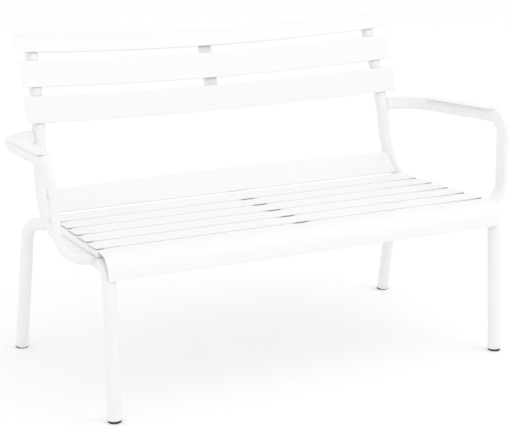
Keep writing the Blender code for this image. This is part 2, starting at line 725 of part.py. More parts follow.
def add_bowed_ribs(slat, front, inward, shift):
    """Union the two ribs of a back slat, bowed exactly as the slat is over their shorter length."""
    share = (UPRIGHT_TOP_HALF_SPAN - TUBE_RADIUS - RIB_SETBACK) / BACK_SLAT_HALF_LENGTH
    for index, along in enumerate((0, -1)):
        edge = Vector(front[along])
        neighbour = Vector(front[1] if along == 0 else front[-2])
        step = (neighbour - edge).normalized()
        normal = inward(along)
        end_shift = Vector(shift) * (1 - share**2)
        lines = []
        for across in (0.0006, 0.0006 + RIB_THICKNESS):
            foot = edge + step * across + end_shift
            lines.append([tuple(foot + normal * depth) for depth in (SKIN * 0.5, BACK_SLAT_DEPTH)])
        rest = tuple(Vector(shift) * share**2)
        name = f"{slat.name}_rib_{index + 1}"
        mesh = extruded_band(name, lines[0], lines[1], BACK_SLAT_HALF_LENGTH * share, 16, lambda _: rest)
        boolean(slat, add_cutter(name, mesh), "UNION")


def build_back_strap():
    """The flat bar behind the middle of the back, which ties the three slats together."""
    low = BACK_SLAT_FIRST_START + 0.012
    high = BACK_SLAT_FIRST_START + 2 * (BACK_SLAT_HEIGHT + BACK_SLAT_GAP) + 0.010
    shift = BACK_SLAT_BOW[1]
    face = slat_face_forward((low + high) / 2, shift) - BACK_SLAT_DEPTH - STRAP_SETBACK
    front, back = [], []
    for index in range(9):
        length = low + (high - low) * index / 8
        for line, forward in ((front, face), (back, face - STRAP_THICKNESS)):
            y, z = upright_point(length, forward)
            line.append((y + shift[0], z + shift[1]))
    mesh = extruded_band("back_strap", front, back, STRAP_WIDTH / 2)
    smooth(add_node("back_strap", mesh, WHITE_COAT))


# ---------------------------------------------------------------- feet and caps


def cylinder_mesh(name, radius, length, sides=20):
    """A closed cylinder along Z that starts at the origin."""
    mesh = bpy.data.meshes.new(name)
    shape = bmesh.new()
    bmesh.ops.create_cone(
        shape,
        cap_ends=True,
        segments=sides,
        radius1=radius,
        radius2=radius,
        depth=length,
    )
    bmesh.ops.translate(shape, verts=shape.verts, vec=(0.0, 0.0, length / 2))
    shape.to_mesh(mesh)
    shape.free()
    return mesh


def plug(name, place, axis, head_axis, head_radius, head_height, stem_length, look):
    """A head outside a tube end, joined to a stem that leans with the tube and ends level with the head."""
    head = add_node(name, cylinder_mesh(name, head_radius, head_height), look)
    turn = Vector((0.0, 0.0, 1.0)).rotation_difference(head_axis)
    head.location = place
    head.rotation_euler = turn.to_euler()
    lean = turn.inverted() @ Vector(axis)
    lean /= lean.z
    stem_radius = (TUBE_RADIUS - TUBE_WALL) * cos(radians(180.0 / TUBE_SIDES)) - 2 * FIT_GAP
    stem_mesh = cylinder_mesh(f"{name}_stem", stem_radius, stem_length, TUBE_SIDES)
    for vertex in stem_mesh.vertices:
        vertex.co.x += vertex.co.z * lean.x
        vertex.co.y += vertex.co.z * lean.y
    stem = add_cutter(f"{name}_stem", stem_mesh)
    stem.location = Vector(place) + turn @ (lean * head_height * 0.4)
    stem.rotation_euler = turn.to_euler()
    boolean(head, stem, "UNION")
    smooth(head)


def build_glides():
    """A plastic glide in the foot of each of the four legs."""
    up = Vector((0.0, 0.0, 1.0))
    for label, side in SIDES:
        front = mirrored(side_tube_path()[:2], side)
        rear = mirrored(rear_leg_path()[:2], side)
        for which, ends in (("front", front), ("rear", rear)):
            axis = (ends[1] - ends[0]).normalized()
            name = f"foot_glide_{which}_{label}"
            plug(name, ends[0], axis, up, GLIDE_RADIUS, GLIDE_HEIGHT, GLIDE_STEM, DARK_PLASTIC)


def build_upright_caps():
    """A shallow plastic cap in the top of each upright."""
    for label, side in SIDES:
        path = mirrored(side_tube_path(), side)
        axis = (path[-1] - path[-2]).normalized()
        place = path[-1] + axis * (CAP_HEIGHT + CAP_SEAT_GAP)
        plug(f"upright_cap_{label}", place, -axis, -axis, TUBE_RADIUS, CAP_HEIGHT, CAP_STEM, WHITE_PLASTIC)


# ---------------------------------------------------------------- assembly


def centre_depth():
    """Move the whole bench so that its depth is centred on y = 0."""
    bpy.context.view_layer.update()
    graph = bpy.context.evaluated_depsgraph_get()
    depths = []
    for node in BENCH.objects:
        if node.type != "MESH":
            continue
        evaluated = node.evaluated_get(graph)
        depths += [(evaluated.matrix_world @ vertex.co).y for vertex in evaluated.data.vertices]
    ROOT.location.y = -(min(depths) + max(depths)) / 2


def main():
    trims = build_side_tubes()
    build_rear_legs(trims)
    build_arm_tubes(trims, build_seat_bearers())
    build_arm_pads()
    build_seat_slats()
    build_front_slat()
    build_lumbar_slat()
    build_seat_strap()
    build_back_slats()
    build_back_strap()
    build_glides()
    build_upright_caps()
    centre_depth()


main()
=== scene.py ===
"""Looks of the garden bench: smooth tubes, slats, arms, pads, feet, caps and arm welds around the CAD frame.

Metres, +Z up. X runs along the bench and the sitter faces -Y. Side-view points are (y, z) with y = 0 under
the front legs, and every place is shifted by the depth of the front feet, which is read from the frame.
"""

import logging
from dataclasses import dataclass, field
from enum import Enum
from math import atan2, cos, pi, radians, sin, tan

import bpy
import numpy as np
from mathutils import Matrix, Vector


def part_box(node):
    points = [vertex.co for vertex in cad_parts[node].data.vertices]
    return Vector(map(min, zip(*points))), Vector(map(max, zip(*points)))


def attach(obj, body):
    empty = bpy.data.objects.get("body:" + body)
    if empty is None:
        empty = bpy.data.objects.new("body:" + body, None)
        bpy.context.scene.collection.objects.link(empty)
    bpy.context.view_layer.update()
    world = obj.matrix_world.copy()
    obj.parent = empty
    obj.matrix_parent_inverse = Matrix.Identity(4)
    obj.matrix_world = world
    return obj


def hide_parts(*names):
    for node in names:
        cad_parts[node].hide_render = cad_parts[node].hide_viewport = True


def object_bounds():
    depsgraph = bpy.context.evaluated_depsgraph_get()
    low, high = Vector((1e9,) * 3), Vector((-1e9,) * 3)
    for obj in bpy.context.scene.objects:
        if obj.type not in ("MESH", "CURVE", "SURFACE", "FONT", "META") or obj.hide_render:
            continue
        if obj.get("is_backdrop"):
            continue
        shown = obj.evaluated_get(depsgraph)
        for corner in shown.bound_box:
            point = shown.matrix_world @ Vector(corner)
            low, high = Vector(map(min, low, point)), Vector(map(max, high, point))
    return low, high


logging.basicConfig(level=logging.INFO, format="%(levelname)s %(message)s")
LOG = logging.getLogger("bench")

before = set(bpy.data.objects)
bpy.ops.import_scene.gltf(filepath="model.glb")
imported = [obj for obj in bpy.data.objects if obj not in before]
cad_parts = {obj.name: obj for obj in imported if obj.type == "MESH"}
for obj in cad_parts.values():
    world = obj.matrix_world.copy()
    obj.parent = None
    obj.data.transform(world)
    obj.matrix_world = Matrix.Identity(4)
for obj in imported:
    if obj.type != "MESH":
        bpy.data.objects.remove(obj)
CAD_LOW, CAD_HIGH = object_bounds()

Array = np.ndarray


class Side(Enum):
    """The two ends of the bench, with the sign of X."""

    LEFT = -1.0
    RIGHT = 1.0

    @property
    def label(self) -> str:
        """Lower-case name, as the CAD nodes use it."""
        return self.name.lower()


# ---------------------------------------------------------------- sizes


@dataclass(frozen=True)
class FrameSize:
    """Sizes of the bent tube frame, in metres and radians."""

    gap: float = 0.0003
    tube_radius: float = 0.0168
    half_span: float = 0.547
    seat_depth: float = 0.5205
    rail_height: float = 0.373
    rail_fall: float = 0.020
    front_lean: float = 0.059
    front_bend: float = 0.038
    seat_bend: float = 0.150
    arc_radius: float = 0.940
    arc_length: float = 0.300
    lean: float = radians(7.5)
    rear_lean: float = 0.200
    rear_toe_in: float = 0.020
    rear_bend: float = 0.060
    rear_reach: float = 0.0725
    glide_height: float = 0.0060
    rail_toe_in: float = 0.0115
    upright_toe_in: float = 0.0175
    knee_toe_in: float = 0.029
    top_toe_in: float = 0.036
    arc_rise: float = 0.137
    rear_foot_y: float = 0.0865


@dataclass(frozen=True)
class ArmSize:
    """Sizes of a looped arm and of its pad."""

    wide: float = 0.035
    thick: float = 0.020
    corner: float = 0.0062
    foot_y: float = 0.090
    foot_lift: float = 0.006
    knee_step: tuple[float, float] = (0.018, 0.008)
    front_reach: float = 0.087
    rear_reach: float = 0.075
    height: float = 0.235
    fall: float = 0.054
    splay: float = 0.045
    post_lean: float = 0.087
    bends: tuple[float, float, float] = (0.062, 0.046, 0.090)
    pad_width: float = 0.037
    pad_thickness: float = 0.003
    pad_setback: float = 0.040
    pad_length: float = 0.295
    pad_corner: float = 0.010
    pad_clearance: float = 0.0008


@dataclass(frozen=True)
class SlatSize:
    """Sizes of the slats, bearers and straps."""

    skin: float = 0.0032
    seat_gap: float = 0.014
    seat_count: int = 5
    first_gap_y: float = 0.077
    seat_end: float = 0.078
    seat_overhang: float = 0.0115
    front_overhang: float = 0.008
    back_overhang: float = 0.011
    seat_taper: float = 0.049
    last_tilt: float = radians(3.0)
    bearer_thick: float = 0.0135
    front_radius: float = 0.050
    front_face_y: float = 0.0005
    front_skirt: float = 0.010
    lumbar: tuple[float, float] = (radians(31.0), radians(61.0))
    lumbar_bow: float = 0.030
    back_height: float = 0.0705
    back_gap: float = 0.0215
    back_depth: float = 0.0095
    back_start: float = 0.110
    bows: tuple[tuple[float, float], ...] = ((0.040, -0.018), (0.040, -0.021), (0.040, -0.024))
    roll_radius: float = 0.075
    roll: float = radians(52.0)
    roll_clearance: float = 0.0015
    rib_setback: float = 0.004
    rib_thick: float = 0.003


TUBES = FrameSize()
ARM = ArmSize()
GLIDE_RADIUS = 0.016
END_EDGE = 0.0008
LEG_BEAD = 0.0042
ARM_BEAD = 0.0030
BEAD_TAIL = 40
BEAD_SEARCH = 0.03


# ---------------------------------------------------------------- surfaces


def make_object(name: str, points: Array, faces: Array, uv: Array | None = None, smooth: bool = True):
    """Link a mesh made from whole arrays.

    Args:
        name: name of the object.
        points: (n, 3) places in metres.
        faces: (m, 4) corner numbers; a triangle repeats its last corner.
        uv: (n, 2) coordinates for each point, if the finish needs them.
        smooth: shade the surface smooth.

    Returns:
        The linked object, at the origin.
    """
    mesh = bpy.data.meshes.new(name)
    corners = [tuple(dict.fromkeys(face)) for face in faces.tolist()]
    mesh.from_pydata(points.tolist(), [], [c for c in corners if len(c) > 2])
    if uv is not None:
        layer = mesh.uv_layers.new(name="surface")
        loops = np.empty(len(mesh.loops), np.int32)
        mesh.loops.foreach_get("vertex_index", loops)
        layer.data.foreach_set("uv", uv[loops].astype(np.float32).ravel())
    mesh.validate()
    if smooth:
        mesh.shade_smooth()
        mesh.set_sharp_from_angle(angle=radians(38.0))
    item = bpy.data.objects.new(name, mesh)
    bpy.context.scene.collection.objects.link(item)
    return item


def outward(points: Array, faces: Array) -> Array:
    """Turn every face round if the closed surface is inside out.

    Volume is the sum over triangles of a . (b x c) / 6, which is positive when the faces look outwards.
    """
    a, b, c, d = (points[faces[:, i]] for i in range(4))
    volume = np.einsum("ij,ij->i", a, np.cross(b, c)).sum() + np.einsum("ij,ij->i", a, np.cross(c, d)).sum()
    return faces if volume > 0 else faces[:, ::-1]


def strips(rings: int, around: int, joined: bool = False) -> Array:
    """Quads between neighbouring rings of points; when joined, the last ring meets the first."""
    i, j = np.meshgrid(np.arange(rings if joined else rings - 1), np.arange(around), indexing="ij")
    p, q = (i + 1) % rings, (j + 1) % around
    return np.stack([i * around + j, i * around + q, p * around + q, p * around + j], -1).reshape(-1, 4)


def fans(rings: int, around: int) -> Array:
    """Triangles that close both ends on two centre points, which follow the points of the rings."""
    a = np.arange(around)
    b, top = (a + 1) % around, (rings - 1) * around
    low, high = np.full(around, rings * around), np.full(around, rings * around + 1)
    return np.concatenate([np.stack([b, a, low, low], -1), np.stack([top + a, top + b, high, high], -1)])


def node_points(name: str) -> Array:
    """The points of a CAD node."""
    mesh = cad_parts[name].data
    points = np.empty(len(mesh.vertices) * 3, np.float32)
    mesh.vertices.foreach_get("co", points)
    return points.reshape(-1, 3).astype(float)


def swept(
    path: Array, section: Array, frames: tuple[Array, Array], rounding: float
) -> tuple[Array, Array, Array]:
    """Carry a closed section along a path, and close both ends with a small rounded edge.

    Point (i, j) is path_i + section_j0 * across_i + section_j1 * up_i. Each end adds rings that shrink by
    r (1 - cos t) while they move out by r sin t, then one centre point.

    Args:
        path: (n, 3) centre line.
        section: (m, 2) closed outline.
        frames: (n, 3) across and up directions.
        rounding: radius of the edge at both ends.

    Returns:
        Points, faces and surface coordinates (share round the section, metres along the path).
    """
    reach = np.linalg.norm(section, axis=1).max()
    ahead = np.gradient(path, axis=0)
    ahead /= np.linalg.norm(ahead, axis=1, keepdims=True)
    turn = np.linspace(0, pi / 2, 5)[1:]
    shrink = 1 - rounding * (1 - np.cos(turn)) / reach
    slide = rounding * np.sin(turn)[:, None]
    line = np.concatenate([(path[0] - ahead[0] * slide)[::-1], path, path[-1] + ahead[-1] * slide])
    scale = np.concatenate([shrink[::-1], np.ones(len(path)), shrink])
    wide, tall = (np.concatenate([np.repeat(v[:1], 4, 0), v, np.repeat(v[-1:], 4, 0)]) for v in frames)
    body = line[:, None] + scale[:, None, None] * (
        section[None, :, :1] * wide[:, None] + section[None, :, 1:] * tall[:, None]
    )
    n, m = body.shape[:2]
    run = np.r_[0, np.cumsum(np.linalg.norm(np.diff(line, axis=0), axis=1))]
    uv = np.stack(np.broadcast_arrays(np.arange(m)[None, :] / m, run[:, None]), -1).reshape(-1, 2)
    points = np.concatenate([body.reshape(-1, 3), line[:1], line[-1:]])
    uv = np.concatenate([uv, [[0.5, 0.0], [0.5, run[-1]]]])
    faces = np.concatenate([strips(n, m), fans(n, m)])
    return points, outward(points, faces), uv


def carried_frames(path: Array, start_across: Array) -> tuple[Array, Array]:
    """Directions across and above a path, carried along it with no twist.

    Each direction is the last one less its part along the path: a_i = unit(a_(i-1) - (a_(i-1) . t_i) t_i).
    """
    ahead = np.gradient(path, axis=0)
    ahead /= np.linalg.norm(ahead, axis=1, keepdims=True)
    across = np.empty_like(path)
    last = np.asarray(start_across, float)
    for index, way in enumerate(ahead):
        last = last - way * (last @ way)
        last /= np.linalg.norm(last)
        across[index] = last
    return across, np.cross(ahead, across)


def circle(radius: float, count: int = 64) -> Array:
    """Closed round section: (r cos t, r sin t)."""
    t = np.arange(count) * 2 * pi / count
    return radius * np.stack([np.cos(t), np.sin(t)], 1)


def rounded_box(width: float, height: float, corner: float, steps: int = 8) -> Array:
    """Closed rectangle whose corners are quarter circles."""
    t = np.linspace(0, pi / 2, steps)
    parts = []
    for quarter, (sx, sy) in enumerate(((1, 1), (-1, 1), (-1, -1), (1, -1))):
        a = t + quarter * pi / 2
        centre = np.array([sx * (width / 2 - corner), sy * (height / 2 - corner)])
        parts.append(centre + corner * np.stack([np.cos(a), np.sin(a)], 1))
    return np.concatenate(parts)


def fillet(corners, radii, step: float = 0.004, straight: float = 0.02) -> Array:
    """Points along straight lines with round corners, close together along every bend.

    At a corner that turns by a, the arc starts r tan(a / 2) before the corner.

    Args:
        corners: corner places.
        radii: radius at each inner corner.
        step: spacing on the bends.
        straight: spacing on the straight runs.
    """
    points = [Vector(corners[0])]

    def run_to(place):
        gap = (place - points[-1]).length
        count = max(1, int(gap / straight))
        begin = points[-1].copy()
        points.extend(begin.lerp(place, (i + 1) / count) for i in range(count))

    for before, corner, after, radius in zip(corners, corners[1:], corners[2:], radii):
        corner = Vector(corner)
        into = (corner - Vector(before)).normalized()
        out = (Vector(after) - corner).normalized()
        turn = into.angle(out)
        begin = corner - into * radius * tan(turn / 2)
        inward = (out - into * out.dot(into)).normalized()
        centre = begin + inward * radius
        run_to(begin)
        count = max(6, int(radius * turn / step))
        for i in range(1, count + 1):
            a = turn * i / count
            points.append(centre - inward * radius * cos(a) + into * radius * sin(a))
    run_to(Vector(corners[-1]))
    return np.array([tuple(p) for p in points])


# ---------------------------------------------------------------- side view


class Layout:
    """Centre lines of the bench in its side view, from the frame's sizes."""

    def __init__(self, size: FrameSize) -> None:
        self.size = size
        low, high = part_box("foot_glide_front_left")
        self.shift_y = (low.y + high.y) / 2
        self.front_foot = -(low.x + GLIDE_RADIUS)
        self.rear_foot = -(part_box("foot_glide_rear_left")[0].x + GLIDE_RADIUS)
        self.corner = (size.seat_depth, self.rail_z(size.seat_depth))
        self.arc_z = size.rail_height + size.arc_rise
        self.arc_y = size.seat_depth + (self.arc_z - self.corner[1]) * tan(size.lean)

    def rail_z(self, y: float) -> float:
        """Height of the rail's centre: H - fall * y."""
        return self.size.rail_height - self.size.rail_fall * y

    def rail_x(self, y: float) -> float:
        """Half the distance between the rails at depth y."""
        return self.size.half_span - self.size.rail_toe_in * y / self.size.seat_depth

    def lean_at(self, length: float) -> float:
        """Lean of the upright: lean + length / R."""
        return self.size.lean + length / self.size.arc_radius

    def upright(self, length: float, forward: float = 0.0) -> tuple[float, float]:
        """(y, z) on the upright's arc, moved forwards at a right angle to it."""
        s, a = self.size, self.lean_at(length)
        y = self.arc_y + s.arc_radius * (cos(s.lean) - cos(a))
        z = self.arc_z + s.arc_radius * (sin(a) - sin(s.lean))
        return y - forward * cos(a), z + forward * sin(a)

    def upright_x(self, length: float) -> float:
        """Half the distance between the uprights."""
        s = self.size
        knee = self.arc_z + s.arc_length / 2 * cos(s.lean)
        share = (self.arc_z - self.corner[1]) / (knee - self.corner[1])
        foot = s.half_span - s.rail_toe_in - s.upright_toe_in * share
        return foot + (s.half_span - s.top_toe_in - foot) * length / s.arc_length

    def bend_centre(self) -> tuple[float, float]:
        """(y, z) centre of the bend between rail and upright."""
        s = self.size
        fall = atan2(-s.rail_fall, 1.0)
        setback = s.seat_bend * tan((pi / 2 - s.lean - fall) / 2)
        y = self.corner[0] - setback * cos(fall) - s.seat_bend * sin(fall)
        return y, self.corner[1] - setback * sin(fall) + s.seat_bend * cos(fall)

    def side_path(self) -> Array:
        """Front foot, rail and upright of the +X side tube."""
        s = self.size
        top_lean = self.lean_at(s.arc_length)
        tangent = s.arc_radius * tan((top_lean - s.lean) / 2)
        foot = Vector((self.front_foot, 0, 0))
        leg = Vector((s.half_span, s.front_lean * s.rail_height, self.rail_z(0)))
        foot = foot.lerp(leg, s.glide_height / leg.z)
        knee_y = self.arc_y + tangent * sin(s.lean)
        knee = (s.half_span - s.knee_toe_in, knee_y, self.arc_z + tangent * cos(s.lean))
        top = (s.half_span - s.top_toe_in, *self.upright(s.arc_length))
        rear = (s.half_span - s.rail_toe_in, *self.corner)
        return fillet((foot, leg, rear, knee, top), (s.front_bend, s.seat_bend, s.arc_radius * 0.995))

    def rear_path(self) -> Array:
        """Rear leg of the +X side, from its foot into the seat bend."""
        s = self.size
        z = self.corner[1] - 0.001
        centre = self.bend_centre()
        y = s.seat_depth - s.rear_reach
        meet = (self.rail_x(y), y, centre[1] - (s.seat_bend**2 - (y - centre[0]) ** 2) ** 0.5)
        foot = Vector((self.rear_foot, s.seat_depth + s.rear_foot_y, 0))
        corner = Vector((self.rear_foot - s.rear_toe_in * z, foot.y - s.rear_lean * z, z))
        return fillet((foot.lerp(corner, s.glide_height / z), corner, meet), (s.rear_bend,))

    def arm_corners(self):
        """Corners of the +X arm, from the rail round to the upright."""
        s = self.size
        foot = (self.rail_x(ARM.foot_y), ARM.foot_y, self.rail_z(ARM.foot_y) + ARM.foot_lift)
        knee = (s.half_span + ARM.front_reach, ARM.foot_y + ARM.knee_step[0], foot[2] + ARM.knee_step[1])
        height = s.rail_height + ARM.height
        rise = height - knee[2]
        elbow = (knee[0] + rise * ARM.splay, knee[1] + rise * ARM.post_lean, height)
        length = 0.085
        for _ in range(3):
            join = self.upright(length)
            length += (height - ARM.fall * (join[0] - elbow[1]) - join[1]) / cos(self.lean_at(length))
        join = self.upright(length)
        share = (join[1] - self.corner[1]) / (self.upright(s.arc_length / 2)[1] - self.corner[1])
        x = s.half_span - s.rail_toe_in - s.upright_toe_in * min(share, 1.0)
        return foot, knee, elbow, (s.half_span + ARM.rear_reach, *join), (x, *join)

    def placed(self, path: Array, side: Side) -> Array:
        """The path on one side, shifted into the row frame."""
        return path * [side.value, 1, 1] + [0, self.shift_y, 0]


# ---------------------------------------------------------------- finishes


def node_group(name: str, inputs, outputs):
    """An empty shader node group with float inputs and typed outputs."""
    group = bpy.data.node_groups.new(name, "ShaderNodeTree")
    for label, value in inputs:
        socket = group.interface.new_socket(label, in_out="INPUT", socket_type="NodeSocketFloat")
        socket.default_value = value
    for label, kind in outputs:
        group.interface.new_socket(label, in_out="OUTPUT", socket_type=kind)
    return group, group.nodes.new("NodeGroupInput"), group.nodes.new("NodeGroupOutput")


def orange_peel_group():
    """Shared skin of a sprayed and baked coat: soft cells over fine grain, as height and roughness."""
    kinds = (("Height", "NodeSocketFloat"), ("Rough", "NodeSocketFloat"))
    group, ins, outs = node_group("orange_peel", (("Cells", 420.0), ("Grain", 2600.0)), kinds)
    place = group.nodes.new("ShaderNodeTexCoord")
    cells = group.nodes.new("ShaderNodeTexNoise")
    grain = group.nodes.new("ShaderNodeTexNoise")
    cells.inputs["Detail"].default_value = 1.0
    grain.inputs["Detail"].default_value = 2.0
    mix = group.nodes.new("ShaderNodeMath")
    mix.operation = "MULTIPLY_ADD"
    mix.inputs[1].default_value = 0.25
    spread = group.nodes.new("ShaderNodeMapRange")
    spread.inputs["To Min"].default_value = -0.04
    spread.inputs["To Max"].default_value = 0.05
    link = group.links.new
    for noise, label in ((cells, "Cells"), (grain, "Grain")):
        link(place.outputs["Object"], noise.inputs["Vector"])
        link(ins.outputs[label], noise.inputs["Scale"])
    link(grain.outputs["Fac"], mix.inputs[0])
    link(cells.outputs["Fac"], mix.inputs[2])
    link(grain.outputs["Fac"], spread.inputs["Value"])
    link(mix.outputs[0], outs.inputs["Height"])
    link(spread.outputs[0], outs.inputs["Rough"])
    return group


def dust_group():
    """Shared faint dust: a mask that is strongest on faces that look up, broken by cloudy noise."""
    group, ins, outs = node_group("settled_dust", (("Amount", 0.05),), (("Mask", "NodeSocketFloat"),))
    normal = group.nodes.new("ShaderNodeNewGeometry")
    split = group.nodes.new("ShaderNodeSeparateXYZ")
    place = group.nodes.new("ShaderNodeTexCoord")
    cloud = group.nodes.new("ShaderNodeTexNoise")
    cloud.inputs["Scale"].default_value = 9.0
    cloud.inputs["Detail"].default_value = 5.0
    facing = group.nodes.new("ShaderNodeMath")
    facing.operation = "MULTIPLY"
    facing.use_clamp = True
    scaled = group.nodes.new("ShaderNodeMath")
    scaled.operation = "MULTIPLY"
    scaled.use_clamp = True
    link = group.links.new
    link(normal.outputs["Normal"], split.inputs[0])
    link(place.outputs["Object"], cloud.inputs["Vector"])
    link(split.outputs["Z"], facing.inputs[0])
    link(cloud.outputs["Fac"], facing.inputs[1])
    link(facing.outputs[0], scaled.inputs[0])
    link(ins.outputs["Amount"], scaled.inputs[1])
    link(scaled.outputs[0], outs.inputs["Mask"])
    return group


def painted_crevice_shade_group():
    """Make the group that paints shade into a colour: it darkens the colour where nearby surfaces close in on
    it.

    Returns:
        The node group: colour out = colour in * (0.3 + 0.7 * openness ** 1.5).
    """
    tree = bpy.data.node_groups.new("painted_crevice_shade", "ShaderNodeTree")
    tree.interface.new_socket("Colour", in_out="INPUT", socket_type="NodeSocketColor")
    tree.interface.new_socket("Colour", in_out="OUTPUT", socket_type="NodeSocketColor")
    source, sink = tree.nodes.new("NodeGroupInput"), tree.nodes.new("NodeGroupOutput")
    # Painted shade: ambient occlusion within 22 mm darkens the base colour where surfaces close in.
    reach = tree.nodes.new("ShaderNodeAmbientOcclusion")
    reach.samples = 8
    reach.inputs["Distance"].default_value = 0.022
    power, scale = (tree.nodes.new("ShaderNodeMath") for _ in range(2))
    power.operation, scale.operation = "POWER", "MULTIPLY_ADD"
    power.inputs[1].default_value = 1.5
    scale.inputs[1].default_value, scale.inputs[2].default_value = 0.7, 0.3
    shaded_colour = tree.nodes.new("ShaderNodeVectorMath")
    shaded_colour.operation = "SCALE"
    tree.links.new(reach.outputs["AO"], power.inputs[0])
    tree.links.new(power.outputs[0], scale.inputs[0])
    tree.links.new(source.outputs[0], shaded_colour.inputs[0])
    tree.links.new(scale.outputs[0], shaded_colour.inputs["Scale"])
    tree.links.new(shaded_colour.outputs[0], sink.inputs[0])
    return tree


# Painted shade for narrow gaps between pieces, shared by the finishes that use it.
PAINTED_CREVICE_SHADE = painted_crevice_shade_group()
PEEL = orange_peel_group()
DUST = dust_group()


@dataclass(frozen=True)
class Finish:
    """A coated or moulded surface.

    Attributes:
        name: material name.
        colour: base colour, linear.
        roughness: mean roughness.
        bump: depth of the orange peel, in metres.
        cells: size of its cells, as a noise scale.
        coat: weight of the clear layer.
        dust: amount of settled dust.
        weld: strength of the ripple that a weld bead shows along its own coordinate.
        painted_crevice_shade: whether narrow gaps between pieces get painted shade, a darker colour where
            nearby surfaces close in.
    """

    name: str
    colour: tuple[float, float, float]
    roughness: float
    bump: float = 0.00006
    cells: float = 420.0
    coat: float = 0.0
    dust: float = 0.05
    weld: float = 0.0
    painted_crevice_shade: bool = False

    def build(self):
        """Make the material.

        Returns:
            The Blender material, whose nodes vary colour, roughness and height over the surface.
        """
        material = bpy.data.materials.new(self.name)
        material.use_nodes = True
        tree = material.node_tree
        shader = tree.nodes["Principled BSDF"]
        link = tree.links.new
        peel = tree.nodes.new("ShaderNodeGroup")
        peel.node_tree = PEEL
        peel.inputs["Cells"].default_value = self.cells
        peel.inputs["Grain"].default_value = self.cells * 6
        dust = tree.nodes.new("ShaderNodeGroup")
        dust.node_tree = DUST
        dust.inputs["Amount"].default_value = self.dust
        colour = tree.nodes.new("ShaderNodeMix")
        colour.data_type = "RGBA"
        colour.inputs[6].default_value = (*self.colour, 1)
        colour.inputs[7].default_value = (*[c * 0.82 + 0.02 for c in self.colour], 1)
        link(dust.outputs["Mask"], colour.inputs[0])
        tone = colour.outputs[2]
        # Painted shade: the colour is darkened where nearby surfaces close in, in narrow gaps between pieces.
        if self.painted_crevice_shade:
            painted_crevice_shade = tree.nodes.new("ShaderNodeGroup")
            painted_crevice_shade.node_tree = PAINTED_CREVICE_SHADE
            link(tone, painted_crevice_shade.inputs["Colour"])
            tone = painted_crevice_shade.outputs["Colour"]
        link(tone, shader.inputs["Base Color"])
        rough = tree.nodes.new("ShaderNodeMath")
        rough.operation = "ADD"
        rough.use_clamp = True
        rough.inputs[1].default_value = self.roughness
        link(peel.outputs["Rough"], rough.inputs[0])
        link(rough.outputs[0], shader.inputs["Roughness"])
        bump = tree.nodes.new("ShaderNodeBump")
        bump.inputs["Distance"].default_value = self.bump
        height = peel.outputs["Height"]
        if self.weld:
            height = self._ripple(tree, height)
        link(height, bump.inputs["Height"])
        link(bump.outputs[0], shader.inputs["Normal"])
        shader.inputs["Coat Weight"].default_value = self.coat
        shader.inputs["Coat Roughness"].default_value = 0.3
        return material

    def _ripple(self, tree, height):
        """Add the ridges of a weld run to the height: h + weld * sin(wave along the bead)."""
        place = tree.nodes.new("ShaderNodeUVMap")
        wave = tree.nodes.new("ShaderNodeTexWave")
        wave.bands_direction = "Y"
        wave.inputs["Scale"].default_value = 95.0
        wave.inputs["Distortion"].default_value = 1.6
        add = tree.nodes.new("ShaderNodeMath")
        add.operation = "MULTIPLY_ADD"
        add.inputs[1].default_value = self.weld
        tree.links.new(place.outputs["UV"], wave.inputs["Vector"])
        tree.links.new(wave.outputs["Fac"], add.inputs[0])
        tree.links.new(height, add.inputs[2])
        return add.outputs[0]


COAT = Finish("white_frame_coat", (0.86, 0.86, 0.855), 0.40, coat=0.12, dust=0.05).build()
# The slat coat has painted shade: its colour darkens in narrow gaps, on the slats, pads and ribs.
SLAT_COAT = Finish(
    "white_slat_coat", (0.87, 0.87, 0.865), 0.42, cells=360.0, coat=0.10, dust=0.06, painted_crevice_shade=True
).build()
WELD = Finish(
    "white_weld_coat", (0.85, 0.85, 0.845), 0.44, bump=0.0004, coat=0.10, dust=0.08, weld=1.6
).build()
GLIDE = Finish("dark_glide", (0.03, 0.03, 0.032), 0.55, bump=0.00004, cells=900.0, dust=0.15).build()
CAP = Finish("white_cap", (0.84, 0.84, 0.83), 0.50, bump=0.00003, cells=1200.0, dust=0.06).build()


def dress(item, material, slot: str, *replaced: str):
    """Give a piece its finish and body, and hide the CAD nodes that it stands for."""
    item.data.materials.append(material)
    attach(item, "root")
    if replaced:
        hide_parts(*replaced)
    LOG.info("piece %s: %d faces, stands for %s", item.name, len(item.data.polygons), replaced or "nothing")
    return item


# ---------------------------------------------------------------- tube frame


